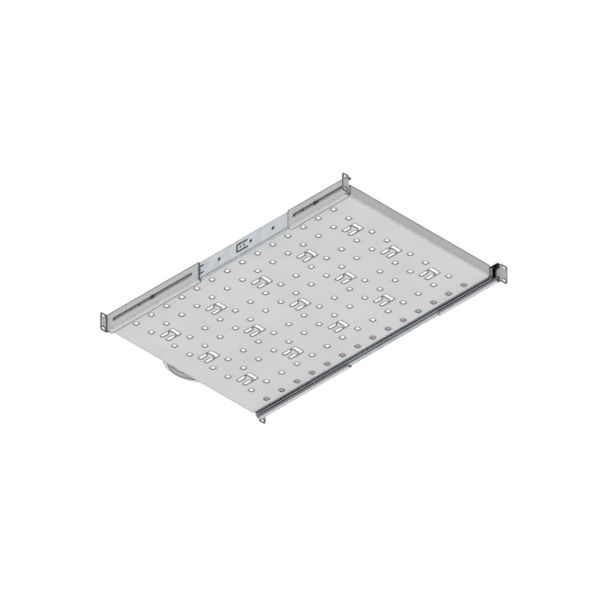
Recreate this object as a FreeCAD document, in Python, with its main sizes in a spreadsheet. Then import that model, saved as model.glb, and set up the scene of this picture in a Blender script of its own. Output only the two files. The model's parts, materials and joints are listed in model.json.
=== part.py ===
import FreeCAD, Part
import math
import os
import re
import Sketcher

# Sliding shelf for a 19-inch rack, in millimetres.
# The front is towards -Y, +Z is up, and X = 0 is the middle of the rack.
# Y = 0 is the middle of the tray's hole pattern, Z = 0 is the underside of the brackets.
# The right-hand pieces (towards +X) are drawn, and the left-hand ones mirror them.

SIZES = {
    # Rack brackets
    "rack_width": 482.6,
    "ear_reach": 17.3,
    "bracket_height": 44.0,
    "bracket_sheet": 2.0,
    "bracket_bend": 3.0,
    "bracket_gap": 0.1,
    "flange_width": 11.4,
    "flange_corner": 5.0,
    "flange_setback": 5.0,
    "ear_corner": 4.0,
    "ear_slot_length": 10.0,
    "ear_slot_width": 6.8,
    "ear_slot_inset": 8.75,
    "ear_slot_low": 6.35,
    "ear_slot_rise": 31.75,
    "front_ear_lead": 3.0,
    "front_bracket_length": 271.0,
    "front_slot_start": 20.7,
    "front_slot_end": 250.7,
    "rear_ear_lead": 13.0,
    "rear_bracket_length": 178.6,
    "rear_slot_start": 16.0,
    "rear_slot_end": 162.7,
    "clamp_slot_room": 0.25,
    # Clamp screws
    "front_clamp_inset": 131.0,
    "rear_clamp_inset": 85.0,
    "clamp_thread": 5.0,
    "clamp_head": 9.5,
    "clamp_head_height": 2.75,
    "thread_room": 0.1,
    # Slides
    "slide_length": 694.0,
    "slide_offset": 6.0,
    "slide_height": 42.0,
    "slide_lift": 0.3,
    "slide_sheet": 1.2,
    "slide_bend": 1.6,
    "web_gap": 0.7,
    "shoulder_radius": 1.4,
    "shoulder_angle": 20.0,
    "race_step_angle": 45.5,
    "outer_lip_angle": 5.0,
    "middle_lip_angle": 30.0,
    "inner_lip_angle": 20.0,
    "ball": 4.0,
    "ball_room": 0.2,
    "ball_count": 3.0,
    "cage_length": 364.0,
    "cage_sheet": 0.6,
    "cage_room": 0.4,
    "cage_lip": 0.35,
    "pocket_room": 0.1,
    "cage_end": 12.0,
    "tail_length": 10.0,
    "tail_notch": 21.0,
    "tail_notch_depth": 15.0,
    "tab_length": 31.7,
    "tab_height": 18.8,
    "tab_slit": 1.5,
    "tab_hole": 3.0,
    "front_tab_inset": 248.7,
    "rear_tab_inset": 377.5,
    "clamp_tab_lead": 39.0,
    "web_hole": 6.0,
    # Tray
    "tray_lift": 12.0,
    "tray_front_lap": 5.0,
    "tray_rear_setback": 2.0,
    "tray_wall": 26.0,
    "tray_sheet": 1.5,
    "tray_bend": 3.0,
    "corner_notch": 4.0,
    "hole_side": 9.0,
    "hole_pitch": 44.45,
    "group_pitch": 112.4,
    "side_margin": 12.0,
    "end_margin": 50.0,
    "tie_width": 24.6,
    "tie_length": 36.8,
    "tie_neck": 11.0,
    "tie_leg": 18.3,
    "tie_head": 10.0,
    "tie_gap": 1.0,
    "tie_head_corner": 3.0,
    "tie_pitch_rows": 3.0,
    "tray_thread": 4.0,
    "tray_head": 7.6,
    "tray_head_height": 2.2,
    "tray_screw_length": 5.0,
    "tray_screw_count": 2.0,
    "tray_screw_end": 45.0,
    # Pull handle
    "handle_lift": 2.5,
    "handle_height": 15.0,
    "handle_projection": 20.0,
    "handle_radius": 91.0,
    "handle_wall": 4.2,
    "handle_inner_radius": 64.0,
    "handle_roof": 3.0,
    "handle_edge": 1.2,
    "handle_screw_span": 91.0,
    "handle_screw_depth": 5.0,
}

# Plain holes in the outer member's web, by their distance from its front end
WEB_HOLES = (326.0, 419.0, 483.5)

doc = FreeCAD.newDocument("sliding_rack_shelf")
sheet = doc.addObject("Spreadsheet::Sheet", "sizes")
for row, (alias, number) in enumerate(SIZES.items(), 1):
    sheet.set("A%d" % row, alias)
    sheet.set("B%d" % row, str(number))
    sheet.setAlias("B%d" % row, alias)
doc.recompute()


def size(alias):
    """The number in the sheet's cell of that name."""
    return float(sheet.get(alias))


def formula(text):
    """Turn words that name cells into an expression that other objects can read."""
    return re.sub(r"[a-z_]+", lambda word: "sizes." + word[0] if word[0] in SIZES else word[0], text)


def value(text):
    """The number that an expression of the sheet's cells gives."""
    result = sheet.evalExpression(formula(text))
    return float(getattr(result, "Value", result))


# Places that several pieces share, as expressions of the sheet's cells

WEB_OUTSIDE = "( rack_width / 2 - ear_reach )"
WEB_INSIDE = "( %s - bracket_sheet )" % WEB_OUTSIDE
EAR_SLOT = "( rack_width / 2 - ear_slot_inset )"
SLIDE_FACE = "( %s - bracket_gap )" % WEB_INSIDE
SLIDE_MIDDLE = "( bracket_sheet + slide_lift + slide_height / 2 )"
RACE = "( ball / 2 + ball_room + slide_sheet / 2 )"
SHOULDER = ("( shoulder_radius * ( 1 + sin( shoulder_angle ) )"
            " + %s * sin( shoulder_angle ) )" % RACE)
SLIDE_DEPTH = ("( 2 * slide_sheet + web_gap + 2 * %s + 2 * %s * cos( race_step_angle ) )"
               % (SHOULDER, RACE))
TRAY_SIDE = "( %s - %s )" % (SLIDE_FACE, SLIDE_DEPTH)
SLIDE_FRONT = "( slide_offset - slide_length / 2 )"
SLIDE_BACK = "( slide_offset + slide_length / 2 )"
TRAY_FRONT = "( %s - tray_front_lap )" % SLIDE_FRONT
TRAY_BACK = "( %s - tray_rear_setback )" % SLIDE_BACK
TRAY_DEPTH = "( slide_length + tray_front_lap - tray_rear_setback )"
FRONT_EAR = "( %s - front_ear_lead )" % SLIDE_FRONT
REAR_EAR = "( %s + rear_ear_lead )" % SLIDE_BACK
FRONT_CLAMP = "( %s + front_clamp_inset )" % SLIDE_FRONT
REAR_CLAMP = "( %s - rear_clamp_inset )" % SLIDE_BACK
OUTER_ROW_U = "( 1.5 * slide_sheet + web_gap + %s )" % SHOULDER
OUTER_ROW_V = "( slide_height / 2 - slide_sheet - ball_room - ball / 2 )"
INNER_ROW_U = "( %s + 2 * %s * cos( race_step_angle ) )" % (OUTER_ROW_U, RACE)
CAGE_RIM = "( ball / 2 - cage_lip )"
INNER_ROW_V = "( %s - 2 * %s * sin( race_step_angle ) )" % (OUTER_ROW_V, RACE)
BALL_STEP = "( ( cage_length - 2 * cage_end ) / ( ball_count - 1 ) )"
TRAY_SCREW = "( %s + tray_screw_end )" % SLIDE_FRONT
TRAY_SCREW_STEP = "( ( slide_length - 2 * tray_screw_end ) / ( tray_screw_count - 1 ) )"
HANDLE_FLOOR = "( tray_lift + handle_lift )"
HANDLE_MIDDLE = "( %s + handle_height / 2 )" % HANDLE_FLOOR
CLAMP_LENGTH = "( bracket_sheet + bracket_gap + slide_sheet + web_gap / 4 )"


def vector(x, y, z=0.0):
    return FreeCAD.Vector(x, y, z)


# Helpers for bodies, sketches and features

def new_body(name, place=None, turn=0.0):
    """A body whose origin sits at the given X, Y and Z expressions, turned about Z in degrees."""
    body = doc.addObject("PartDesign::Body", name)
    body.Label = name
    body.AllowCompound = True
    body.Placement.Rotation = FreeCAD.Rotation(vector(0, 0, 1), turn)
    for axis, text in zip("xyz", place or ()):
        body.setExpression(".Placement.Base." + axis, formula(text))
    doc.recompute()
    return body


def origin_part(body, role):
    return next(item for item in body.Origin.OriginFeatures if item.Role == role)


def new_sketch(body, name, role, offset=None):
    """A sketch on one of the body's own origin planes, or parallel to it."""
    sketch = body.newObject("Sketcher::SketchObject", name)
    sketch.AttachmentSupport = (origin_part(body, role), [""])
    sketch.MapMode = "FlatFace"
    if offset:
        sketch.setExpression(".AttachmentOffset.Base.z", formula(offset))
    doc.recompute()
    return sketch


def pin_point(sketch, geometry, point, x_text, y_text):
    """Fix a sketch point by its two distances from the sketch's origin."""
    for kind, text, axis in (("DistanceX", x_text, -2), ("DistanceY", y_text, -1)):
        number = value(text)
        if abs(number) < 1e-9:
            sketch.addConstraint(Sketcher.Constraint("PointOnObject", geometry, point, axis))
            continue
        index = sketch.addConstraint(Sketcher.Constraint(kind, -1, 1, geometry, point, number))
        sketch.setExpression("Constraints[%d]" % index, formula(text))


def set_radius(sketch, geometry, text):
    index = sketch.addConstraint(Sketcher.Constraint("Radius", geometry, value(text)))
    sketch.setExpression("Constraints[%d]" % index, formula(text))


def outline(sketch, corners):
    """A closed outline of straight lines.

    Each corner is (x, y) or (x, y, radius), all expressions of the sheet's cells.
    A corner with a radius lies between a level line and an upright one.
    """
    count = len(corners)
    spots = [vector(value(corner[0]), value(corner[1])) for corner in corners]
    ways = [(spots[(i + 1) % count] - spots[i]).normalize() for i in range(count)]
    first = sketch.GeometryCount
    starts = []
    ends = []
    for i in range(count):
        radius = corners[i][2] if len(corners[i]) == 3 else None
        shift = value(radius) if radius else 0.0
        before = ways[i - 1]
        after = ways[i]
        starts.append((spots[i] + after * shift, radius, after))
        ends.append((spots[i] - before * shift, radius, before))
    for i in range(count):
        sketch.addGeometry(Part.LineSegment(starts[i][0], ends[(i + 1) % count][0]), False)
    for i in range(count):
        x_text, y_text = corners[i][:2]
        radius = starts[i][1]
        incoming = first + (i - 1) % count
        outgoing = first + i
        if not radius:
            sketch.addConstraint(Sketcher.Constraint("Coincident", incoming, 2, outgoing, 1))
            pin_point(sketch, outgoing, 1, x_text, y_text)
            continue
        for geometry, point, way, sign in ((incoming, 2, ways[i - 1], "-"), (outgoing, 1, ways[i], "+")):
            pin_point(sketch, geometry, point,
                      "%s %s %d * %s" % (x_text, sign, round(way.x), radius),
                      "%s %s %d * %s" % (y_text, sign, round(way.y), radius))
        centre = ends[i][0] + ways[i] * value(radius)
        left_turn = ways[i - 1].cross(ways[i]).z > 0
        begin = ends[i][0] if left_turn else starts[i][0]
        angle = math.atan2(begin.y - centre.y, begin.x - centre.x)
        circle = Part.Circle(centre, vector(0, 0, 1), value(radius))
        arc = sketch.addGeometry(Part.ArcOfCircle(circle, angle, angle + math.pi / 2), False)
        near, far = (1, 2) if left_turn else (2, 1)
        sketch.addConstraint(Sketcher.Constraint("Tangent", incoming, 2, arc, near))
        sketch.addConstraint(Sketcher.Constraint("Coincident", arc, far, outgoing, 1))


def rectangle(sketch, x_low, x_high, y_low, y_high):
    outline(sketch, [(x_low, y_low), (x_high, y_low), (x_high, y_high), (x_low, y_high)])


def slot(sketch, x_low, x_high, y_text, width):
    """A level slot with round ends, from end to end between x_low and x_high."""
    radius = "%s / 2" % width
    low = vector(value(x_low) + value(radius), value(y_text))
    high = vector(value(x_high) - value(radius), value(y_text))
    rise = vector(0, value(radius))
    left = sketch.addGeometry(Part.ArcOfCircle(Part.Circle(low, vector(0, 0, 1), rise.y),
                                               math.pi / 2, 3 * math.pi / 2), False)
    right = sketch.addGeometry(Part.ArcOfCircle(Part.Circle(high, vector(0, 0, 1), rise.y),
                                                -math.pi / 2, math.pi / 2), False)
    bottom = sketch.addGeometry(Part.LineSegment(low - rise, high - rise), False)
    top = sketch.addGeometry(Part.LineSegment(high + rise, low + rise), False)
    for line, point, arc, end in ((bottom, 1, left, 2), (bottom, 2, right, 1),
                                  (top, 1, right, 2), (top, 2, left, 1)):
        sketch.addConstraint(Sketcher.Constraint("Tangent", line, point, arc, end))
    sketch.addConstraint(Sketcher.Constraint("Equal", left, right))
    pin_point(sketch, left, 3, "%s + %s" % (x_low, radius), y_text)
    pin_point(sketch, right, 3, "%s - %s" % (x_high, radius), y_text)
    set_radius(sketch, left, radius)


def hole(sketch, x_text, y_text, diameter):
    circle = Part.Circle(vector(value(x_text), value(y_text)), vector(0, 0, 1), value(diameter) / 2)
    geometry = sketch.addGeometry(circle, False)
    pin_point(sketch, geometry, 3, x_text, y_text)
    set_radius(sketch, geometry, "( %s ) / 2" % diameter)


def bow(sketch, base, projection, radius):
    """A straight base line closed by a shallow arc that bulges towards the front."""
    half = "sqrt( %s ^ 2 - ( %s - %s ) ^ 2 )" % (radius, radius, projection)
    left = vector(-value(half), value(base))
    right = vector(value(half), value(base))
    front = vector(0, value("%s - %s" % (base, projection)))
    line = sketch.addGeometry(Part.LineSegment(right, left), False)
    arc = sketch.addGeometry(Part.Arc(left, front, right), False)
    sketch.addConstraint(Sketcher.Constraint("Coincident", line, 2, arc, 1))
    sketch.addConstraint(Sketcher.Constraint("Coincident", line, 1, arc, 2))
    pin_point(sketch, line, 1, half, base)
    pin_point(sketch, line, 2, "-1 * %s" % half, base)
    set_radius(sketch, arc, radius)


def pad(body, sketch, length, reverse=False, midplane=False):
    feature = body.newObject("PartDesign::Pad", sketch.Name + "_pad")
    feature.Profile = sketch
    feature.setExpression("Length", formula(length))
    feature.Reversed = reverse
    feature.Midplane = midplane
    doc.recompute()
    return feature


def pocket(body, sketch, length=None, reverse=False):
    """Cut a sketch to a depth, or right through to both sides when no depth is given."""
    before = body.Shape.Volume
    feature = body.newObject("PartDesign::Pocket", sketch.Name + "_pocket")
    feature.Profile = sketch
    if length:
        feature.setExpression("Length", formula(length))
        feature.Reversed = reverse
    else:
        feature.Type = "ThroughAll"
        feature.Midplane = True
    doc.recompute()
    if not body.Shape.Volume < before:
        raise RuntimeError("%s cuts nothing" % feature.Name)
    return feature


def revolve(body, sketch):
    """Turn a half profile about the sketch's level axis."""
    feature = body.newObject("PartDesign::Revolution", sketch.Name + "_turned")
    feature.Profile = sketch
    feature.ReferenceAxis = (sketch, ["H_Axis"])
    feature.Angle = 360.0
    doc.recompute()
    return feature


def repeat(body, name, features, axis, step, count):
    """Repeat features along one of the body's own axes."""
    feature = body.newObject("PartDesign::LinearPattern", name)
    feature.Originals = features
    feature.Direction = (origin_part(body, axis), [""])
    feature.setExpression("Length", formula("%s * %d" % (step, count - 1)))
    feature.Occurrences = count
    body.Tip = feature
    doc.recompute()
    return feature


def dress_edges(body, kind, name, reach, places):
    """Fillet or chamfer the edges whose middles are at the given points."""
    base = body.Tip
    names = []
    for place in places:
        gaps = [(edge.CenterOfMass - place).Length for edge in base.Shape.Edges]
        names.append("Edge%d" % (gaps.index(min(gaps)) + 1))
    feature = body.newObject("PartDesign::" + kind, name)
    feature.Base = (base, names)
    feature.setExpression("Radius" if kind == "Fillet" else "Size", formula(reach))
    doc.recompute()
    return feature


def mirror(piece, name):
    """The copy of a piece on the other side of the rack."""
    copy = doc.addObject("Part::Mirroring", name)
    copy.Label = name
    copy.Source = piece
    copy.Normal = vector(1, 0, 0)
    doc.recompute()
    return copy


def group(name, pieces):
    """Several separate solids under one name."""
    compound = doc.addObject("Part::Compound", name)
    compound.Label = name
    compound.Links = pieces
    doc.recompute()
    return compound


# Brackets: a slotted web, a flange under the slide and a rack ear, bent from one sheet

def make_bracket(name, ear_face, sign, length, slot_start, slot_end):
    """A right-hand bracket. Distances run from the ear's outer face towards the tray."""
    def along(distance):
        return "( %s - %d * ( %s ) )" % (ear_face, sign, distance)

    body = new_body(name)
    flange_edge = "%s - flange_width" % WEB_OUTSIDE
    rack_edge = "rack_width / 2"
    inner_bend = "( bracket_bend - bracket_sheet )"

    angle = new_sketch(body, name + "_angle", "XZ_Plane", "-1 * %s" % along("flange_setback"))
    outline(angle, [(flange_edge, "0 * bracket_sheet"), (WEB_OUTSIDE, "0 * bracket_sheet", "bracket_bend"),
                    (WEB_OUTSIDE, "bracket_height"), (WEB_INSIDE, "bracket_height"),
                    (WEB_INSIDE, "bracket_sheet", inner_bend), (flange_edge, "bracket_sheet")])
    pad(body, angle, "%s - flange_setback" % length, reverse=sign < 0)

    ear = new_sketch(body, name + "_ear", "XY_Plane")
    stub_end = along("flange_setback + bracket_bend")
    outline(ear, [(WEB_INSIDE, stub_end), (WEB_INSIDE, ear_face, "bracket_bend"),
                  (rack_edge, ear_face), (rack_edge, along("bracket_sheet")),
                  (WEB_OUTSIDE, along("bracket_sheet"), inner_bend), (WEB_OUTSIDE, stub_end)])
    pad(body, ear, "bracket_height")

    slots = new_sketch(body, name + "_ear_slots", "XZ_Plane", "-1 * %s" % ear_face)
    for level in ("ear_slot_low", "ear_slot_low + ear_slot_rise"):
        slot(slots, EAR_SLOT + " - ear_slot_length / 2", EAR_SLOT + " + ear_slot_length / 2",
             level, "ear_slot_width")
    pocket(body, slots, "2 * bracket_sheet", reverse=sign > 0)

    web = new_sketch(body, name + "_web_slot", "YZ_Plane", WEB_OUTSIDE)
    low, high = (slot_end, slot_start) if sign > 0 else (slot_start, slot_end)
    slot(web, along(low), along(high), SLIDE_MIDDLE, "( clamp_thread + 2 * clamp_slot_room )")
    pocket(body, web, "2 * bracket_sheet")

    ear_middle = value(along("bracket_sheet / 2"))
    dress_edges(body, "Fillet", name + "_ear_round", "ear_corner",
                [vector(value(rack_edge), ear_middle, level) for level in (0.0, size("bracket_height"))])
    dress_edges(body, "Fillet", name + "_flange_round", "flange_corner",
                [vector(value(flange_edge), value(along(spot)), size("bracket_sheet") / 2)
                 for spot in ("flange_setback", length)])
    return body


# Screws, turned about their own axis, with the head standing outwards

def make_screw(name, place, thread, head, head_height, length, turn=0.0):
    """A screw along X, its head towards +X and its seat at the body's origin, turned about Z."""
    body = new_body(name, place, turn)
    half = new_sketch(body, name + "_half", "XZ_Plane")
    outline(half, [("-1 * " + length, "0 * " + thread), (head_height, "0 * " + thread),
                   (head_height, head + " / 2"), ("0 * " + thread, head + " / 2"),
                   ("0 * " + thread, thread + " / 2"), ("-1 * " + length, thread + " / 2")])
    revolve(body, half)
    return body


# Slide members: roll-formed strips of one thickness around the rows of balls

def strip(path, sheet_thickness):
    """The face of a bent strip whose middle line is a run of tangent lines and arcs.

    A line is (start, end). An arc is (centre, radius, first angle, last angle) in degrees.
    """
    half = sheet_thickness / 2
    sides = ([], [])
    for run in path:
        for edges, shift in ((sides[0], half), (sides[1], -half)):
            if len(run) == 2:
                way = (run[1] - run[0]).normalize()
                normal = vector(-way.z, 0, way.x) * shift
                edges.append(Part.LineSegment(run[0] + normal, run[1] + normal).toShape())
                continue
            centre, radius, first, last = run
            reach = radius - shift if last > first else radius + shift
            spots = []
            for angle in (first, (first + last) / 2, last):
                spots.append(centre + vector(math.cos(math.radians(angle)), 0,
                                             math.sin(math.radians(angle))) * reach)
            edges.append(Part.Arc(*spots).toShape())
    caps = [Part.LineSegment(sides[0][k].Vertexes[k].Point, sides[1][k].Vertexes[k].Point).toShape()
            for k in (0, -1)]
    return Part.Face(Part.Wire(Part.__sortEdges__(sides[0] + sides[1] + caps)))


def member(path, front, length):
    """A slide member from the middle line of its upper half, in a frame with U inwards and V up."""
    section = strip(path, size("slide_sheet"))
    section.translate(vector(0, front))
    upper = section.extrude(vector(0, length))
    lower = upper.mirror(vector(0, 0), vector(0, 0, 1))
    return upper.fuse(lower).removeSplitter().Solids[0]


def point(u, v):
    """A point of the slide's section: U inwards from its outer face, V up from its middle."""
    return vector(-u, 0, v)


def drill(shape, y, v, diameter):
    """Drill across the slide at a place along it and a height on its web."""
    depth = value(SLIDE_DEPTH)
    start = vector(-2 * depth, y, v)
    return shape.cut(Part.makeCylinder(diameter / 2, 3 * depth, start, vector(1, 0, 0)))


def lance_tab(shape, start):
    """Free a bayonet tab in the web by a slit on three sides."""
    length = size("tab_length")
    height = size("tab_height")
    slit = size("tab_slit")
    reach = 2 * size("slide_sheet")
    cuts = [(0.0, -height / 2, slit, height),
            (0.0, -height / 2, length, slit),
            (0.0, height / 2 - slit, length, slit)]
    for y, v, long, tall in cuts:
        shape = shape.cut(Part.makeBox(reach, long, tall, vector(-reach, start + y, v)))
    return shape


def notch_tail(shape):
    """Open the web at the outer member's rear end, which reaches past the other members."""
    reach = 2 * size("slide_sheet")
    height = size("tail_notch")
    depth = size("tail_notch_depth")
    start = value(SLIDE_BACK) + size("tail_length") - depth
    return shape.cut(Part.makeBox(reach, 2 * depth, height, vector(-reach, start, -height / 2)))


def rise_to(centre, web_u, side):
    """The web's upper half and its shoulder, up to the trough under a row of balls.

    The side is 1 where the web is outside the balls, and -1 where it is inside them.
    The second result is the angle at which the trough starts, about the balls' centre.
    """
    radius = size("shoulder_radius")
    tilt = size("shoulder_angle")
    level = centre.z - (value(RACE) + radius) * math.cos(math.radians(tilt))
    shoulder = point(web_u + side * radius, level)
    first = 90 - 90 * side
    bend = (shoulder, radius, first, first + side * (90 + tilt))
    return [(point(web_u, 0), point(web_u, level)), bend], -90 + side * tilt


def outer_profile():
    bend = size("slide_bend")
    web_u = size("slide_sheet") / 2
    ball = point(value(OUTER_ROW_U), value(OUTER_ROW_V))
    top = ball.z + value(RACE)
    return [(point(web_u, 0), point(web_u, top - bend)),
            (point(web_u + bend, top - bend), bend, 0, 90),
            (point(web_u + bend, top), vector(ball.x, 0, top)),
            (ball, value(RACE), 90, 180 - size("outer_lip_angle"))]


def intermediate_profile():
    web_u = 1.5 * size("slide_sheet") + size("web_gap")
    outer_ball = point(value(OUTER_ROW_U), value(OUTER_ROW_V))
    inner_ball = point(value(INNER_ROW_U), value(INNER_ROW_V))
    race = value(RACE)
    step = size("race_step_angle")
    path, start = rise_to(outer_ball, web_u, 1)
    return path + [(outer_ball, race, start, -180 + step),
                   (inner_ball, race, step, 180 - size("middle_lip_angle"))]


def inner_profile():
    web_u = value(SLIDE_DEPTH) - size("slide_sheet") / 2
    ball = point(value(INNER_ROW_U), value(INNER_ROW_V))
    path, start = rise_to(ball, web_u, -1)
    return path + [(ball, value(RACE), start, -size("inner_lip_angle"))]


def slide_piece(name, shape):
    """A slide member in its place on the right-hand side."""
    piece = doc.addObject("Part::Feature", name)
    piece.Label = name
    piece.Shape = shape
    piece.Placement.Base = vector(value(SLIDE_FACE), 0, value(SLIDE_MIDDLE))
    return piece


def make_slide():
    """The three members of the right-hand slide."""
    front = value(SLIDE_FRONT)
    length = size("slide_length")
    clamp = size("clamp_thread") + 2 * size("thread_room")
    outer = notch_tail(member(outer_profile(), front, length + size("tail_length")))
    for place in (FRONT_CLAMP, REAR_CLAMP):
        outer = drill(outer, value(place), 0.0, clamp)
        outer = lance_tab(outer, value(place) - size("clamp_tab_lead"))
    for inset in WEB_HOLES:
        outer = drill(outer, front + inset, 0.0, size("web_hole"))
    for inset in ("front_tab_inset", "rear_tab_inset"):
        start = front + size(inset)
        outer = lance_tab(outer, start)
        for share in (1 / 3, 2 / 3):
            outer = drill(outer, start + share * size("tab_length"), 0.0, size("tab_hole"))
    inner = member(inner_profile(), front, length)
    for k in range(int(size("tray_screw_count"))):
        place = value(TRAY_SCREW) + k * value(TRAY_SCREW_STEP)
        inner = drill(inner, place, 0.0, size("tray_thread") + 2 * size("thread_room"))
    return [slide_piece("outer_member_right", outer),
            slide_piece("intermediate_member_right", member(intermediate_profile(), front, length)),
            slide_piece("inner_member_right", inner)]


SLIDE_PLACE = (SLIDE_FACE, "0 * ball", SLIDE_MIDDLE)


def make_cage(name, row_u, row_v, low, high):
    """Two comb strips, above and below, whose open pockets hold a row of balls."""
    body = new_body(name, SLIDE_PLACE)
    front = "( slide_offset - cage_length / 2 )"
    back = "( slide_offset + cage_length / 2 )"
    for side, level in (("upper", row_v), ("lower", "-1 * %s" % row_v)):
        flat = new_sketch(body, "%s_%s" % (name, side), "XY_Plane", "%s - cage_sheet / 2" % level)
        rectangle(flat, "-1 * %s" % high, "-1 * %s" % low, front, back)
        pad(body, flat, "cage_sheet")
    rim = new_sketch(body, name + "_rim", "XY_Plane")
    reach = "( ball / 2 + pocket_room )"
    place = "( %s + cage_end )" % front
    rectangle(rim, "-1 * %s - %s" % (row_u, reach), "-1 * %s + %s" % (row_u, reach),
              "%s - %s" % (place, reach), "%s + %s" % (place, reach))
    repeat(body, name + "_pockets", [pocket(body, rim)], "Y_Axis", BALL_STEP, int(size("ball_count")))
    return body


def make_balls(name, row_u, row_v):
    """A row of balls above and one below the slide's middle.

    Each ball has flat faces, so that the rows stay light: it is what a cube shares with itself
    turned by an eighth about each axis. Its corners lie on the ball's own sphere.
    """
    flat = size("ball") / 2 / math.sqrt(1 + 2 * (math.sqrt(2) - 1) ** 2)
    cube = Part.makeBox(2 * flat, 2 * flat, 2 * flat, vector(-flat, -flat, -flat))
    ball = cube
    for axis in (vector(1, 0, 0), vector(0, 1, 0), vector(0, 0, 1)):
        turned = cube.copy()
        turned.rotate(vector(0, 0), axis, 45)
        ball = ball.common(turned)
    row = []
    for k in range(int(size("ball_count"))):
        y = value("slide_offset - cage_length / 2 + cage_end + %d * %s" % (k, BALL_STEP))
        for v in (value(row_v), -value(row_v)):
            row.append(ball.Solids[0].translated(vector(-value(row_u), y, v)))
    return slide_piece(name, Part.makeCompound(row))


# Tray: a folded sheet with upstands on four sides and open corner notches

def folded(low, high):
    """The section of a sheet turned up at both ends."""
    top = "tray_lift + tray_wall"
    floor = "tray_lift + tray_sheet"
    inner_bend = "( tray_bend - tray_sheet )"
    inner_low = "%s + tray_sheet" % low
    inner_high = "%s - tray_sheet" % high
    return [(low, "tray_lift", "tray_bend"), (high, "tray_lift", "tray_bend"), (high, top),
            (inner_high, top), (inner_high, floor, inner_bend), (inner_low, floor, inner_bend),
            (inner_low, top), (low, top)]


def make_tray(name):
    body = new_body(name)
    across = new_sketch(body, name + "_sides", "XZ_Plane", "-1 * ( %s - corner_notch )" % TRAY_BACK)
    outline(across, folded("-1 * " + TRAY_SIDE, TRAY_SIDE))
    pad(body, across, "%s - 2 * corner_notch" % TRAY_DEPTH)
    lengthways = new_sketch(body, name + "_ends", "YZ_Plane", "-1 * ( %s - corner_notch )" % TRAY_SIDE)
    outline(lengthways, folded(TRAY_FRONT, TRAY_BACK))
    pad(body, lengthways, "2 * ( %s - corner_notch )" % TRAY_SIDE)

    # Square holes in pairs of columns, as many as the floor takes
    width = 2 * value(TRAY_SIDE)
    pair = size("hole_pitch") + size("hole_side")
    groups = int((width - 2 * size("side_margin") - pair) / size("group_pitch")) + 1
    rows = int((value(TRAY_DEPTH) - 2 * size("end_margin")) / size("hole_pitch")) + 1
    squares = new_sketch(body, name + "_squares", "XY_Plane", "tray_lift")
    row_start = "( %s * hole_pitch )" % (-(rows - 1) / 2)
    for k in range(groups):
        for side in ("-", "+"):
            middle = "%s * group_pitch %s hole_pitch / 2" % (k - (groups - 1) / 2, side)
            rectangle(squares, middle + " - hole_side / 2", middle + " + hole_side / 2",
                      row_start + " - hole_side / 2", row_start + " + hole_side / 2")
    cut = pocket(body, squares, "2 * tray_sheet", reverse=True)
    repeat(body, name + "_square_rows", [cut], "Y_Axis", "hole_pitch", rows)

    # Flat T-shaped tabs between the columns, rooted at the front, to tie cables to
    tie_step = int(size("tie_pitch_rows"))
    tie_rows = 2 * int((rows - 1) / 2 / tie_step) + 1
    ties = new_sketch(body, name + "_ties", "XY_Plane", "tray_lift")
    for k in range(groups - 1):
        centre = "%s * group_pitch" % (k - (groups - 2) / 2)
        outline(ties, tie_cut_out(centre, "%d * hole_pitch" % (-(tie_rows - 1) // 2 * tie_step)))
    cut = pocket(body, ties, "2 * tray_sheet", reverse=True)
    repeat(body, name + "_tie_rows", [cut], "Y_Axis", "%d * hole_pitch" % tie_step, tie_rows)

    # Screw holes in the side walls and in the front wall
    sides = new_sketch(body, name + "_side_holes", "YZ_Plane")
    hole(sides, TRAY_SCREW, SLIDE_MIDDLE, "tray_thread + 2 * thread_room")
    cut = pocket(body, sides)
    repeat(body, name + "_side_hole_rows", [cut], "Y_Axis", TRAY_SCREW_STEP, int(size("tray_screw_count")))
    front = new_sketch(body, name + "_handle_holes", "XZ_Plane", "-1 * " + TRAY_FRONT)
    for side in ("-1", "1"):
        hole(front, side + " * handle_screw_span / 2", HANDLE_MIDDLE, "tray_thread + 2 * thread_room")
    pocket(body, front, "2 * tray_sheet")
    return body


def clipped(x, y, x_way, y_way, corner):
    """The two ends of a short cut across a corner, from its level side to its upright one."""
    return [("%s %s %s" % (x, x_way, corner), y), (x, "%s %s %s" % (y, y_way, corner))]


def tie_cut_out(x, y):
    """The opening round one tie tab, as a single outline that leaves the T standing in it."""
    left = "%s - tie_width / 2" % x
    right = "%s + tie_width / 2" % x
    front = "%s - tie_length / 2" % y
    back = "%s + tie_length / 2" % y
    neck_left = "%s - tie_neck / 2" % x
    neck_right = "%s + tie_neck / 2" % x
    head_left = "%s + tie_gap" % left
    head_right = "%s - tie_gap" % right
    head_front = "%s + tie_leg" % front
    head_back = "%s + tie_head" % head_front
    head = (clipped(head_left, head_front, "+", "+", "tie_head_corner")
            + clipped(head_left, head_back, "+", "-", "tie_head_corner")[::-1]
            + clipped(head_right, head_back, "-", "-", "tie_head_corner")
            + clipped(head_right, head_front, "-", "+", "tie_head_corner")[::-1])
    return ([(left, front), (neck_left, front), (neck_left, head_front)] + head
            + [(neck_right, head_front), (neck_right, front), (right, front), (right, back), (left, back)])


# Pull handle: a bow with a roof, open below for the fingers

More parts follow.
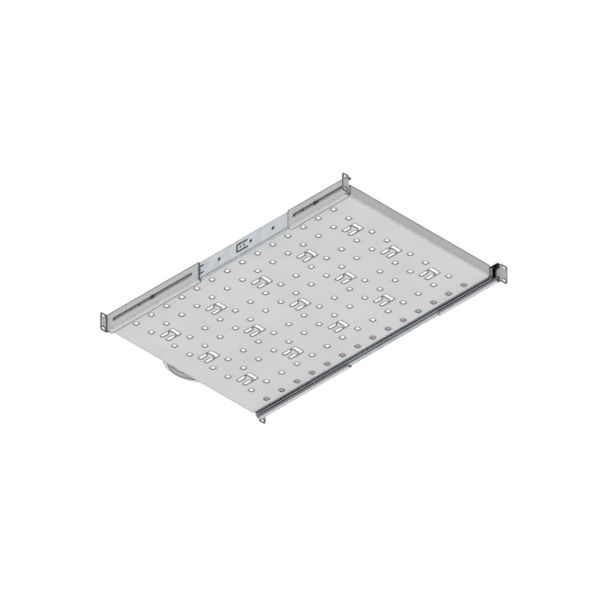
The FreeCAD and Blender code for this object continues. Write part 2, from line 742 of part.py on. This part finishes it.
def make_handle(name):
    body = new_body(name)
    outside = new_sketch(body, name + "_bow", "XY_Plane", HANDLE_FLOOR)
    bow(outside, TRAY_FRONT, "handle_projection", "handle_radius")
    pad(body, outside, "handle_height")
    bow_edges = [edge for edge in body.Tip.Shape.Edges if edge.Curve.TypeId == "Part::GeomCircle"]
    dress_edges(body, "Chamfer", name + "_edge", "handle_edge", [edge.CenterOfMass for edge in bow_edges])
    inside = new_sketch(body, name + "_hollow", "XY_Plane", HANDLE_FLOOR)
    bow(inside, TRAY_FRONT, "( handle_projection - handle_wall )", "handle_inner_radius")
    pocket(body, inside, "handle_height - handle_roof", reverse=True)
    holes = new_sketch(body, name + "_holes", "XZ_Plane", "-1 * " + TRAY_FRONT)
    for side in ("-1", "1"):
        hole(holes, side + " * handle_screw_span / 2", HANDLE_MIDDLE, "tray_thread + 2 * thread_room")
    pocket(body, holes, "handle_screw_depth + thread_room", reverse=True)
    return body


def clamp_screws(name, place):
    seat = (WEB_OUTSIDE, place, SLIDE_MIDDLE)
    screw = make_screw(name + "_one", seat, "clamp_thread", "clamp_head", "clamp_head_height", CLAMP_LENGTH)
    return group(name, [screw, mirror(screw, name + "_other")])


def tray_screws(name):
    seat = ("-1 * ( %s - tray_sheet )" % TRAY_SIDE, TRAY_SCREW, SLIDE_MIDDLE)
    body = make_screw(name, seat, "tray_thread", "tray_head", "tray_head_height", "tray_screw_length")
    repeat(body, name + "_row", [body.Tip], "Y_Axis", TRAY_SCREW_STEP, int(size("tray_screw_count")))
    return body


def handle_screws(name):
    seat = ("handle_screw_span / 2", TRAY_FRONT + " + tray_sheet", HANDLE_MIDDLE)
    screw = make_screw(name + "_one", seat, "tray_thread", "tray_head", "tray_head_height",
                       "( tray_sheet + handle_screw_depth )", turn=90.0)
    return group(name, [screw, mirror(screw, name + "_other")])


# The whole shelf, piece by piece

right_pieces = [
    make_bracket("front_bracket_right", FRONT_EAR, -1, "front_bracket_length",
                 "front_slot_start", "front_slot_end"),
    make_bracket("rear_bracket_right", REAR_EAR, 1, "rear_bracket_length",
                 "rear_slot_start", "rear_slot_end"),
    make_cage("outer_ball_cage_right", OUTER_ROW_U, OUTER_ROW_V,
              "( slide_sheet + cage_room )", "( %s + %s )" % (OUTER_ROW_U, CAGE_RIM)),
    make_cage("inner_ball_cage_right", INNER_ROW_U, INNER_ROW_V,
              "( %s - %s )" % (INNER_ROW_U, CAGE_RIM), "( %s - cage_room )" % SLIDE_DEPTH),
    make_balls("outer_balls_right", OUTER_ROW_U, OUTER_ROW_V),
    make_balls("inner_balls_right", INNER_ROW_U, INNER_ROW_V),
] + make_slide()
left_screws = tray_screws("tray_screws_left")
pieces = right_pieces + [mirror(piece, piece.Label.replace("_right", "_left")) for piece in right_pieces]
pieces += [
    left_screws,
    mirror(left_screws, "tray_screws_right"),
    make_tray("shelf_tray"),
    make_handle("pull_handle"),
    handle_screws("handle_screws"),
    clamp_screws("front_clamp_screws", FRONT_CLAMP),
    clamp_screws("rear_clamp_screws", REAR_CLAMP),
]

doc.recompute()
for item in doc.Objects:
    if "Invalid" in item.State or "Error" in item.State:
        raise RuntimeError("%s failed" % item.Label)
for piece in pieces:
    if piece.Shape.isNull() or not piece.Shape.isValid():
        raise RuntimeError("%s has no sound shape" % piece.Label)

os.makedirs("parts", exist_ok=True)
for piece in pieces:
    piece.Shape.exportStep("parts/%s.step" % piece.Label)
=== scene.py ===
"""A sliding rack shelf in light grey powder coat and zinc-plated steel, seen from below and behind.

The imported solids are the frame, in metres. The sheet parts and the pull are shown as they are, each with its
finish. The balls, their cages and the screws are shown by finer pieces, at the places that the frame gives.
"""

import json
import math
from dataclasses import dataclass, replace
from typing import Callable

import bmesh
import bpy
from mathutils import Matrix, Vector


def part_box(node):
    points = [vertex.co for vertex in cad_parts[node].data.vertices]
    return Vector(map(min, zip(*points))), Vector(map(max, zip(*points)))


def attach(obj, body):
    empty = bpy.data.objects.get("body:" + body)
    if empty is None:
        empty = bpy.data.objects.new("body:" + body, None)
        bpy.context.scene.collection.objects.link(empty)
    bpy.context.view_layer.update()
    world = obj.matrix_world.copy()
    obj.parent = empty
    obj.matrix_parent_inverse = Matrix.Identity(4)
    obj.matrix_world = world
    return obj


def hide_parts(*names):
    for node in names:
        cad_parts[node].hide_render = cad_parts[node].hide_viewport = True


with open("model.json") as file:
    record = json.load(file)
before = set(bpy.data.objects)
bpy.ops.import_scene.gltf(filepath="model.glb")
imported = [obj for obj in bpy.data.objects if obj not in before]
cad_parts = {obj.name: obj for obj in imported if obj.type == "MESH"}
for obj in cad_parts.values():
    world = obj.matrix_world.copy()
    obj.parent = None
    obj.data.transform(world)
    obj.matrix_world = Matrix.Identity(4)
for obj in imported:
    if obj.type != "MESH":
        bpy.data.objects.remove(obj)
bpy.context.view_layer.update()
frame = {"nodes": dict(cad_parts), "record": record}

MM = 0.001


# Materials

# Colours as linear red, green and blue
PAINT = (0.62, 0.635, 0.63)
# Painted shade in the paint's creases
CREASE_SHADE = (0.16, 0.165, 0.18)
# Darkened paint edges: scuffs on outer edges and painted shade in inner corners
WORN_AND_SHADED_PAINT = (0.06, 0.065, 0.08)
ZINC = (0.58, 0.60, 0.63)
# A greasy film and painted shade, where zinc surfaces close in
GREASE_AND_SHADE = (0.07, 0.072, 0.085)
# Darkened zinc edges: scuffs on outer edges and painted shade in inner corners
DULL_AND_SHADED_ZINC = (0.10, 0.105, 0.12)
STRIP_STEEL = (0.45, 0.45, 0.46)
BEARING_STEEL = (0.72, 0.72, 0.73)
PLASTIC = (0.68, 0.69, 0.70)
# Darkened plastic edges: scuffs on outer edges and painted shade in inner corners
WORN_AND_SHADED_PLASTIC = (0.12, 0.125, 0.135)
BLACK_ZINC = (0.085, 0.088, 0.10)
# Darkened screw heads: scuffs on the rim and painted shade round the drive
DARK_ZINC = (0.03, 0.032, 0.038)

# The parts of a noise's range that its colours and its numbers run over
TINT_RUN = (0.35, 0.65)
NUMBER_RUN = (0.3, 0.7)

# Darkened edges, as scuffs on outer edges and painted shade in inner corners, by the cosine of the angle
# that rounding would turn the surface: all of it at the first value, and none from the second
RUBBED_AND_SHADED = (0.95, 0.999)
CHIPPED_AND_SHADED = (0.93, 0.96)

# Samples for the darkened edges and for the painted crease shade
WEAR_AND_SHADE_SAMPLES = 8


class Shader:
    """A material with its Principled shader, and short ways to add nodes to it.

    Patterns lie in the object's own coordinates, so a noise's scale counts features per metre.
    """

    def __init__(self, name):
        self.material = bpy.data.materials.new(name)
        self.material.use_nodes = True
        self.nodes = self.material.node_tree.nodes
        self.links = self.material.node_tree.links
        self.main = self.nodes["Principled BSDF"]
        self.place = self.add("ShaderNodeTexCoord").outputs["Object"]

    def add(self, kind, sockets=None, **settings):
        """A new node, with the values of some of its sockets and settings."""
        node = self.nodes.new(kind)
        for key, value in settings.items():
            setattr(node, key, value)
        for key, value in (sockets or {}).items():
            node.inputs[key].default_value = value
        return node

    def link(self, source, node, socket):
        """Feed a node's socket, which a name or a number gives."""
        self.links.new(source, node.inputs[socket])

    def stretched(self, scale):
        """The object's coordinates, scaled on each axis."""
        node = self.add("ShaderNodeMapping", {"Scale": scale})
        self.link(self.place, node, "Vector")
        return node.outputs["Vector"]

    def noise(self, scale, detail, roughness=0.5, place=None):
        """A grey value that wanders over the surface."""
        node = self.add("ShaderNodeTexNoise", {"Scale": scale, "Detail": detail, "Roughness": roughness})
        self.link(place or self.place, node, "Vector")
        return node.outputs["Fac"]

    def tint(self, source, colour, spread):
        """A colour that a grey value takes from a darker to a lighter shade."""
        node = self.add("ShaderNodeValToRGB")
        for stop, spot, factor in zip(node.color_ramp.elements, TINT_RUN, (1.0 - spread, 1.0 + spread)):
            stop.position = spot
            stop.color = (*(channel * factor for channel in colour), 1.0)
        self.link(source, node, "Fac")
        return node.outputs["Color"]

    def span(self, source, low, high, run=NUMBER_RUN):
        """A number that goes from low to high as a grey value goes over a run."""
        start, end = run
        node = self.add("ShaderNodeMapRange",
                        {"From Min": start, "From Max": end, "To Min": low, "To Max": high})
        self.link(source, node, "Value")
        return node.outputs["Result"]

    def blend(self, factor, first, second):
        """The first colour where the factor is 0, and the second where it is 1."""
        node = self.add("ShaderNodeMix", data_type="RGBA")
        self.link(factor, node, "Factor")
        self.link(first, node, "A")
        self.link(second, node, "B")
        return node.outputs["Result"]

    def edges(self, reach, patch, wear_and_shade, most=1.0):
        """The most on the model's edges and 0 away from them, within a reach that wanders in patches. It takes
        in inner corners as well as outer edges, so the darkening it carries is painted shade in those corners.
        """
        wander = self.noise(scale=1.0 / patch, detail=5.0, roughness=0.7)
        rounded = self.add("ShaderNodeBevel", samples=WEAR_AND_SHADE_SAMPLES)
        self.link(self.span(wander, *reach), rounded, "Radius")
        flat = self.add("ShaderNodeNewGeometry")
        cosine = self.add("ShaderNodeVectorMath", operation="DOT_PRODUCT")
        self.link(rounded.outputs["Normal"], cosine, 0)
        self.link(flat.outputs["Normal"], cosine, 1)
        return self.span(cosine.outputs["Value"], most, 0.0, run=wear_and_shade)

    def creases(self, distance, run):
        """Painted shade: 1 where surfaces close by leave a small share of the view open, and 0 from a larger
        share.
        """
        node = self.add("ShaderNodeAmbientOcclusion", {"Distance": distance}, samples=WEAR_AND_SHADE_SAMPLES)
        return self.span(node.outputs["AO"], 1.0, 0.0, run=run)

    def colour(self, source):
        """Give the surface its colour."""
        self.link(source, self.main, "Base Color")

    def rough(self, source, low, high):
        """Let the roughness go from low to high with a grey value."""
        self.link(self.span(source, low, high), self.main, "Roughness")

    def bump(self, height, distance, strength):
        """Raise and sink the surface with a grey value."""
        node = self.add("ShaderNodeBump", {"Distance": distance, "Strength": strength})
        self.link(height, node, "Height")
        self.link(node.outputs["Normal"], self.main, "Normal")

    def set(self, socket, value):
        """Set one of the main shader's sockets to a value that is the same all over."""
        self.main.inputs[socket].default_value = value


def powder_coat():
    """Fine-textured paint with painted shade in its creases, and darkened beside and on its edges: scuffs and
    chips on outer edges, painted shade in inner corners.
    """
    shader = Shader("powder_coat")
    grain = shader.noise(scale=1400.0, detail=2.0)
    drift = shader.noise(scale=9.0, detail=4.0)
    paint = shader.tint(drift, PAINT, spread=0.03)
    crease_shade_colour = shader.tint(grain, CREASE_SHADE, spread=0.1)
    worn_and_shaded = shader.tint(grain, WORN_AND_SHADED_PAINT, spread=0.15)
    # Painted shade where surfaces close in, as between the tray and the slides
    crease_shade = shader.creases(distance=9.0 * MM, run=(0.2, 0.75))
    # Darkened edges: scuffs and chips on outer edges, painted shade in inner corners
    rubbed_and_shaded = shader.edges(reach=(4.0 * MM, 5.0 * MM), patch=11.0 * MM, wear_and_shade=RUBBED_AND_SHADED, most=0.6)
    chipped_and_shaded = shader.edges(reach=(4.0 * MM, 8.0 * MM), patch=5.0 * MM, wear_and_shade=CHIPPED_AND_SHADED)
    shaded_paint = shader.blend(crease_shade, paint, crease_shade_colour)
    shader.colour(shader.blend(chipped_and_shaded, shader.blend(rubbed_and_shaded, shaded_paint, worn_and_shaded), worn_and_shaded))
    shader.rough(grain, low=0.42, high=0.58)
    shader.bump(grain, distance=0.1 * MM, strength=0.45)
    shader.set("IOR", 1.5)
    return shader.material


def zinc_plate():
    """Bright zinc on rolled strip, with streaks along it, faint clouds, darkened edges (scuffs outside,
    painted shade in inner corners) and a greasy film with painted shade in its races and wherever its surfaces
    close in.
    """
    shader = Shader("zinc_plate")
    streaks = shader.noise(scale=1.0, detail=4.0, place=shader.stretched(scale=(900.0, 8.0, 900.0)))
    clouds = shader.noise(scale=45.0, detail=5.0)
    bright = shader.tint(clouds, ZINC, spread=0.08)
    grease_and_shade = shader.tint(streaks, GREASE_AND_SHADE, spread=0.2)
    dull_and_shaded = shader.tint(streaks, DULL_AND_SHADED_ZINC, spread=0.15)
    # Greasy film and painted shade where the members close in on each other
    crease_shade = shader.creases(distance=15.0 * MM, run=(0.3, 0.9))
    # Darkened edges: scuffs on outer edges, painted shade in inner corners
    rubbed_and_shaded = shader.edges(reach=(4.0 * MM, 5.0 * MM), patch=11.0 * MM, wear_and_shade=RUBBED_AND_SHADED)
    shader.colour(shader.blend(rubbed_and_shaded, shader.blend(crease_shade, bright, grease_and_shade), dull_and_shaded))
    shader.rough(streaks, low=0.3, high=0.5)
    shader.bump(streaks, distance=0.02 * MM, strength=0.3)
    shader.set("Metallic", 1.0)
    return shader.material


def cage_steel():
    """Plain stamped strip, duller than the members around it."""
    shader = Shader("cage_steel")
    streaks = shader.noise(scale=1.0, detail=3.0, place=shader.stretched(scale=(700.0, 12.0, 700.0)))
    shader.colour(shader.tint(streaks, STRIP_STEEL, spread=0.1))
    shader.rough(streaks, low=0.38, high=0.55)
    shader.set("Metallic", 1.0)
    return shader.material


def ball_steel():
    """Polished bearing steel under a thin greasy film."""
    shader = Shader("ball_steel")
    film = shader.noise(scale=600.0, detail=3.0)
    shader.colour(shader.tint(film, BEARING_STEEL, spread=0.05))
    shader.rough(film, low=0.06, high=0.2)
    shader.set("Metallic", 1.0)
    return shader.material


def handle_plastic():
    """Moulded plastic with a fine eroded grain, darkened on its edges: scuffs on outer edges and painted shade
    in inner corners.
    """
    shader = Shader("handle_plastic")
    grain = shader.noise(scale=2600.0, detail=2.0)
    drift = shader.noise(scale=30.0, detail=3.0)
    moulded = shader.tint(drift, PLASTIC, spread=0.03)
    worn_and_shaded = shader.tint(grain, WORN_AND_SHADED_PLASTIC, spread=0.1)
    # Darkened edges: scuffs on outer edges, painted shade in inner corners
    rubbed_and_shaded = shader.edges(reach=(3.0 * MM, 4.0 * MM), patch=11.0 * MM, wear_and_shade=RUBBED_AND_SHADED)
    shader.colour(shader.blend(rubbed_and_shaded, moulded, worn_and_shaded))
    shader.rough(grain, low=0.42, high=0.56)
    shader.bump(grain, distance=0.04 * MM, strength=0.4)
    return shader.material


def screw_zinc():
    """Black zinc, darker on the rim and round the drive than on the dome: scuffed plating on the rim and
    painted shade in the drive's recess.
    """
    shader = Shader("screw_zinc")
    clouds = shader.noise(scale=500.0, detail=4.0)
    plated = shader.tint(clouds, BLACK_ZINC, spread=0.15)
    dark = shader.tint(clouds, DARK_ZINC, spread=0.15)
    # Darkened rim and drive: scuffs on the rim, painted shade in the drive's recess
    rubbed_and_shaded = shader.edges(reach=(0.8 * MM, 1.2 * MM), patch=2.0 * MM, wear_and_shade=RUBBED_AND_SHADED)
    shader.colour(shader.blend(rubbed_and_shaded, plated, dark))
    shader.rough(clouds, low=0.25, high=0.4)
    shader.set("Metallic", 1.0)
    return shader.material


MATERIALS = {
    "powder_coat": powder_coat(),
    "zinc_plate": zinc_plate(),
    "cage_steel": cage_steel(),
    "ball_steel": ball_steel(),
    "handle_plastic": handle_plastic(),
    "screw_zinc": screw_zinc(),
}
SLOT_OF = {row["node"]: row["material_slot"] for row in frame["record"]["subparts"]}

for name, node in frame["nodes"].items():
    node.data.materials.clear()
    node.data.materials.append(MATERIALS[SLOT_OF[name]])


# Pieces with finer detail than the solids they stand for

def new_piece(name, mesh, body, *nodes):
    """Show a mesh in place of some nodes, with their finish, moving with their body."""
    data = bpy.data.meshes.new(name)
    bmesh.ops.recalc_face_normals(mesh, faces=mesh.faces)
    mesh.to_mesh(data)
    mesh.free()
    slot = SLOT_OF[nodes[0]]
    data.materials.append(MATERIALS[slot])
    piece = bpy.data.objects.new(name, data)
    bpy.context.collection.objects.link(piece)
    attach(piece, body)
    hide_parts(*nodes)
    return piece


def turns(count):
    """Even angles round a circle."""
    return [2 * math.pi * k / count for k in range(count)]


def join(mesh, loops):
    """Close the band between each loop of vertices and the next."""
    for lower, upper in zip(loops, loops[1:]):
        for k in range(len(lower)):
            near = (k + 1) % len(lower)
            mesh.faces.new((lower[k], lower[near], upper[near], upper[k]))


def cap(mesh, loop, point):
    """Close a loop of vertices with triangles that meet at a point."""
    tip = mesh.verts.new(point)
    for k in range(len(loop)):
        mesh.faces.new((loop[k], loop[(k + 1) % len(loop)], tip))


# Ball rows: a solid row has three balls with flat faces, and the row shown has round ones all along it

BALLS_PER_ROW = 25
BALL_SEGMENTS = 16
BALL_RINGS = 10
POCKET_ROOM = 0.1 * MM

# A solid ball is what a cube shares with itself turned by an eighth about each axis.
# Its corners lie on the round ball, and its flats inside it.
CORNER_PER_FLAT = math.sqrt(1.0 + 2.0 * (math.sqrt(2.0) - 1.0) ** 2)


def ball_places(node):
    """The middles of a node's balls, in an upper and a lower row, and the balls' radius."""
    low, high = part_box(node)
    flat = (high.x - low.x) / 2
    step = (high.y - low.y - 2 * flat) / (BALLS_PER_ROW - 1)
    rows = [[Vector((low.x + flat, low.y + flat + k * step, z)) for k in range(BALLS_PER_ROW)]
            for z in (high.z - flat, low.z + flat)]
    return rows, flat * CORNER_PER_FLAT


def add_ball(mesh, middle, radius):
    """A round ball, in rings between a pole above and a pole below."""
    pole = Vector((0.0, 0.0, radius))
    spokes = [Vector((math.cos(angle), math.sin(angle), 0.0)) * radius for angle in turns(BALL_SEGMENTS)]
    loops = []
    for k in range(1, BALL_RINGS):
        tilt = math.pi * k / BALL_RINGS
        level = middle + pole * math.cos(tilt)
        loops.append([mesh.verts.new(level + spoke * math.sin(tilt)) for spoke in spokes])
    join(mesh, loops)
    cap(mesh, loops[0], middle + pole)
    cap(mesh, loops[-1], middle - pole)


def make_balls(node, body):
    """Round balls along a node's two rows."""
    (upper, lower), radius = ball_places(node)
    mesh = bmesh.new()
    for place in upper + lower:
        add_ball(mesh, place, radius)
    piece = new_piece(node + "_round", mesh, body, node)
    piece.data.shade_smooth()


def make_cage(node, balls, body):
    """Two comb strips with an open pocket for each ball. The pockets open on the side nearer to the balls."""
    low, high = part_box(node)
    rows, radius = ball_places(balls)
    reach = radius + POCKET_ROOM
    middle = rows[0][0].x
    open_x, back_x = (low.x, high.x) if middle - low.x < high.x - middle else (high.x, low.x)
    pocket_x = middle + math.copysign(reach, back_x - open_x)
    half = (high.z - low.z - (rows[0][0].z - rows[1][0].z)) / 2
    mesh = bmesh.new()
    for row in rows:
        outline = [(open_x, low.y)]
        for place in row:
            outline += [(open_x, place.y - reach), (pocket_x, place.y - reach),
                        (pocket_x, place.y + reach), (open_x, place.y + reach)]
        outline += [(open_x, high.y), (back_x, high.y), (back_x, low.y)]
        loops = [[mesh.verts.new((x, y, z)) for x, y in outline] for z in (row[0].z - half, row[0].z + half)]
        join(mesh, loops)
        for loop in loops:
            mesh.faces.new(loop)
    new_piece(node + "_comb", mesh, body, node)


for side in ("left", "right"):
    for row in ("outer", "inner"):
        make_balls(f"{row}_balls_{side}", f"{row}_cages")
        make_cage(f"{row}_ball_cage_{side}", f"{row}_balls_{side}", f"{row}_cages")


# Screws, turned ring by ring from the threaded end to the drive

SCREW_SIDES = 48
ANGLES = turns(SCREW_SIDES)
RINGS_PER_PITCH = 6
DOME_RINGS = 6
GROOVE_PER_PITCH = 0.54     # depth of the thread
SEAT_GAP = 0.04 * MM        # between the head's underside and the face that it clamps
RIM_BREAK = 0.12 * MM       # chamfer on the head's lower rim
LAND_PER_DRIVE = 1.3        # radius of the dome's flat top
MOUTH_FLARE = 1.06          # how much wider the drive's mouth is
MOUTH_DEPTH = 0.15 * MM
CONE_PER_DRIVE = 0.35       # depth of the drill point below the drive's floor
LOBE_DEPTH = 0.14           # half of a lobe's height, as a share of the drive's radius
SMOOTH_ANGLE = math.radians(30.0)

LEFTWARD = (-1.0, 0.0, 0.0)
RIGHTWARD = (1.0, 0.0, 0.0)
REARWARD = (0.0, 1.0, 0.0)


def circle(radius):
    """The reach of a round ring at each angle."""
    return [radius] * SCREW_SIDES


def hexagon(angle, radius):
    """The reach of a hexagon whose flats are at the radius."""
    return radius / math.cos((angle + math.pi / 6) % (math.pi / 3) - math.pi / 6)


def six_lobes(angle, radius):
    """The reach of a star with six round lobes."""
    return radius * (1.0 - LOBE_DEPTH * (1.0 - math.cos(6 * angle)))


@dataclass
class Screw:
    """One kind of screw. Its rings are pairs of a height above the seat and the reach at each angle."""

    thread: float
    pitch: float
    length: float
    head: float
    head_height: float
    dome: float             # the share of the head's height that is round
    drive: Callable
    drive_radius: float
    drive_depth: float

    def thread_reach(self, depth, angle):
        """The radius of the thread at a depth below the seat, on a helix."""
        turn = (depth / self.pitch + angle / (2 * math.pi)) % 1.0
        return self.thread / 2 - GROOVE_PER_PITCH * self.pitch * (1.0 - abs(2 * turn - 1.0))

    def thread_rings(self):
        """The threaded end, from its tip to below the seat."""
        core = self.thread / 2 - GROOVE_PER_PITCH * self.pitch
        rings = [(-self.length, circle(core))]
        count = round(self.length / self.pitch * RINGS_PER_PITCH)
        for k in range(1, count):
            depth = self.length * (1.0 - k / count)
            rings.append((-depth, [self.thread_reach(depth, angle) for angle in ANGLES]))
        return rings

    def head_rings(self):
        """The head, from its flat underside over its rim and dome to the land round the drive."""
        side = self.head / 2
        land = self.drive_radius * LAND_PER_DRIVE
        rim = self.head_height * (1.0 - self.dome)
        outline = [(SEAT_GAP, self.thread / 2), (SEAT_GAP, side - RIM_BREAK),
                   (SEAT_GAP + RIM_BREAK, side), (rim, side)]
        for k in range(1, DOME_RINGS + 1):
            turn = math.pi / 2 * k / DOME_RINGS
            outline.append((rim + (self.head_height - rim) * math.sin(turn),
                            land + (side - land) * math.cos(turn)))
        return [(height, circle(reach)) for height, reach in outline]

    def drive_rings(self):
        """The drive, from its flared mouth down to its floor."""
        shape = [self.drive(angle, self.drive_radius) for angle in ANGLES]
        mouth = [reach * MOUTH_FLARE for reach in shape]
        return [(self.head_height, mouth), (self.head_height - MOUTH_DEPTH, shape),
                (self.head_height - self.drive_depth, shape)]

    def build(self, mesh, top, way):
        """Add one screw, the middle of its head's top at a point, with its head facing a way."""
        out = Vector(way)
        side = out.orthogonal().normalized()
        up = out.cross(side)
        seat = Vector(top) - out * self.head_height
        spokes = [side * math.cos(angle) + up * math.sin(angle) for angle in ANGLES]
        loops = []
        for height, reaches in self.thread_rings() + self.head_rings() + self.drive_rings():
            middle = seat + out * height
            loops.append([mesh.verts.new(middle + spoke * reach) for spoke, reach in zip(spokes, reaches)])
        join(mesh, loops)
        mesh.faces.new(loops[0])
        bottom = self.head_height - self.drive_depth - self.drive_radius * CONE_PER_DRIVE
        cap(mesh, loops[-1], seat + out * bottom)


BUTTON = Screw(thread=5.0 * MM, pitch=0.8 * MM, length=3.475 * MM,
               head=9.5 * MM, head_height=2.75 * MM, dome=0.82,
               drive=hexagon, drive_radius=1.5 * MM, drive_depth=1.6 * MM)
TRAY_PAN = Screw(thread=4.0 * MM, pitch=0.7 * MM, length=5.0 * MM,
                 head=7.6 * MM, head_height=2.2 * MM, dome=0.75,
                 drive=six_lobes, drive_radius=1.9 * MM, drive_depth=1.3 * MM)
HANDLE_PAN = replace(TRAY_PAN, length=6.5 * MM)


def make_screws(node, body, kind, places):
    """One screw at each (middle of the head's top, way that it faces)."""
    mesh = bmesh.new()
    for top, way in places:
        kind.build(mesh, top, way)
    piece = new_piece(node + "_detailed", mesh, body, node)
    piece.data.shade_smooth()
    piece.data.set_sharp_from_angle(angle=SMOOTH_ANGLE)


def first_and_last(low, high, kind):
    """The middles of the two heads that lie against two limits."""
    return low + kind.head / 2, high - kind.head / 2


for node in ("front_clamp_screws", "rear_clamp_screws"):
    low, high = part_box(node)
    middle = (low + high) / 2
    make_screws(node, "rails", BUTTON, [((low.x, middle.y, middle.z), LEFTWARD),
                                        ((high.x, middle.y, middle.z), RIGHTWARD)])

for node, way in (("tray_screws_left", RIGHTWARD), ("tray_screws_right", LEFTWARD)):
    low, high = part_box(node)
    top_x = high.x if way == RIGHTWARD else low.x
    middle_z = (low.z + high.z) / 2
    make_screws(node, "shelf", TRAY_PAN,
                [((top_x, y, middle_z), way) for y in first_and_last(low.y, high.y, TRAY_PAN)])

low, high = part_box("handle_screws")
middle_z = (low.z + high.z) / 2
make_screws("handle_screws", "shelf", HANDLE_PAN,
            [((x, high.y, middle_z), REARWARD) for x in first_and_last(low.x, high.x, HANDLE_PAN)])


# Stage: a white floor under the brackets, clear to a camera below it, and soft light from all around

WHITE = (1.0, 1.0, 1.0, 1.0)
FLOOR_GAP = 0.5 * MM
FLOOR_HALF = 6.0
FLOOR_ROUGHNESS = 0.9
AMBIENT = 0.4


def floor_finish():
    """Matt white from above, and clear from below."""
    material = bpy.data.materials.new("floor")
    material.use_nodes = True
    nodes = material.node_tree.nodes
    links = material.node_tree.links
    matt = nodes["Principled BSDF"]
    matt.inputs["Base Color"].default_value = WHITE
    matt.inputs["Roughness"].default_value = FLOOR_ROUGHNESS
    clear = nodes.new("ShaderNodeBsdfTransparent")
    side = nodes.new("ShaderNodeNewGeometry")
    mix = nodes.new("ShaderNodeMixShader")
    links.new(side.outputs["Backfacing"], mix.inputs[0])
    links.new(matt.outputs[0], mix.inputs[1])
    links.new(clear.outputs[0], mix.inputs[2])
    links.new(mix.outputs[0], nodes["Material Output"].inputs["Surface"])
    return material


def make_floor():
    """A floor that takes the object's shadow, and neither lights the object nor hides it from the lamps."""
    mesh = bpy.data.meshes.new("floor")
    corners = [(x * FLOOR_HALF, y * FLOOR_HALF, -FLOOR_GAP) for x, y in ((-1, -1), (1, -1), (1, 1), (-1, 1))]
    mesh.from_pydata(corners, [], [(0, 1, 2, 3)])
    mesh.materials.append(floor_finish())
    floor = bpy.data.objects.new("floor", mesh)
    bpy.context.collection.objects.link(floor)
    floor.visible_shadow = False
    floor.visible_diffuse = False
    floor.visible_glossy = False


def make_world():
    """White where it is seen or mirrored, and a softer level where it lights the object."""
    world = bpy.data.worlds.new("studio")
    bpy.context.scene.world = world
    world.use_nodes = True
    nodes = world.node_tree.nodes
    links = world.node_tree.links
    path = nodes.new("ShaderNodeLightPath")
    seen = path.outputs["Is Camera Ray"]
    for ray in ("Is Glossy Ray", "Is Transmission Ray"):
        either = nodes.new("ShaderNodeMath")
        either.operation = "MAXIMUM"
        links.new(seen, either.inputs[0])
        links.new(path.outputs[ray], either.inputs[1])
        seen = either.outputs[0]
    level = nodes.new("ShaderNodeMapRange")
    level.inputs["To Min"].default_value = AMBIENT
    level.inputs["To Max"].default_value = 1.0
    links.new(seen, level.inputs["Value"])
    links.new(level.outputs["Result"], nodes["Background"].inputs["Strength"])
    nodes["Background"].inputs["Color"].default_value = WHITE


def make_lamp(name, towards, strength, softness):
    """A distant lamp that shines along a direction from a disc some degrees wide.

    Metal doesn't mirror it, only the white around the object.
    """
    light = bpy.data.lights.new(name, "SUN")
    light.energy = strength
    light.angle = math.radians(softness)
    lamp = bpy.data.objects.new(name, light)
    lamp.rotation_mode = "QUATERNION"
    lamp.rotation_quaternion = Vector(towards).to_track_quat("-Z", "Y")
    lamp.visible_glossy = False
    bpy.context.collection.objects.link(lamp)


make_floor()
make_world()
make_lamp("key_above", towards=(0.35, 0.55, -1.0), strength=2.2, softness=60.0)
make_lamp("fill_below", towards=(-0.15, -0.25, 1.0), strength=1.8, softness=60.0)
make_lamp("side_right", towards=(-1.0, -0.1, 0.1), strength=0.7, softness=40.0)
make_lamp("side_rear", towards=(-0.1, -1.0, 0.2), strength=0.15, softness=40.0)


# Camera: an isometric view from behind, below and to the right, as in the drawing

IMAGE_PIXELS = 600.0
PIXELS_PER_METRE_ON_AXES = 394.4
ISOMETRIC_SHORTENING = math.sqrt(2.0 / 3.0)
PIXELS_PER_METRE = PIXELS_PER_METRE_ON_AXES / ISOMETRIC_SHORTENING
TOWARDS_CAMERA = (1.0, 1.0, -1.0)
CAMERA_DISTANCE = 3.0

# The middle of the tray's holes, on its underside, and the drawing's pixel that shows it
PATTERN_MIDDLE = Vector((0.0, 0.0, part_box("shelf_tray")[0].z))
PATTERN_PIXEL = (300.05, 304.33)


def make_camera():
    """A camera that shows the pattern's middle at its pixel, at the drawing's scale."""
    data = bpy.data.cameras.new("camera")
    data.type = "ORTHO"
    data.ortho_scale = IMAGE_PIXELS / PIXELS_PER_METRE
    camera = bpy.data.objects.new("camera", data)
    back = Vector(TOWARDS_CAMERA).normalized()
    turn = (-back).to_track_quat("-Z", "Y")
    right = turn @ Vector((1.0, 0.0, 0.0))
    up = turn @ Vector((0.0, 1.0, 0.0))
    off_right = (IMAGE_PIXELS / 2 - PATTERN_PIXEL[0]) / PIXELS_PER_METRE
    off_up = (PATTERN_PIXEL[1] - IMAGE_PIXELS / 2) / PIXELS_PER_METRE
    camera.rotation_mode = "QUATERNION"
    camera.rotation_quaternion = turn
    camera.location = PATTERN_MIDDLE + right * off_right + up * off_up + back * CAMERA_DISTANCE
    bpy.context.collection.objects.link(camera)
    bpy.context.scene.camera = camera


make_camera()
bpy.context.scene.view_settings.view_transform = "Standard"

bpy.context.view_layer.update()
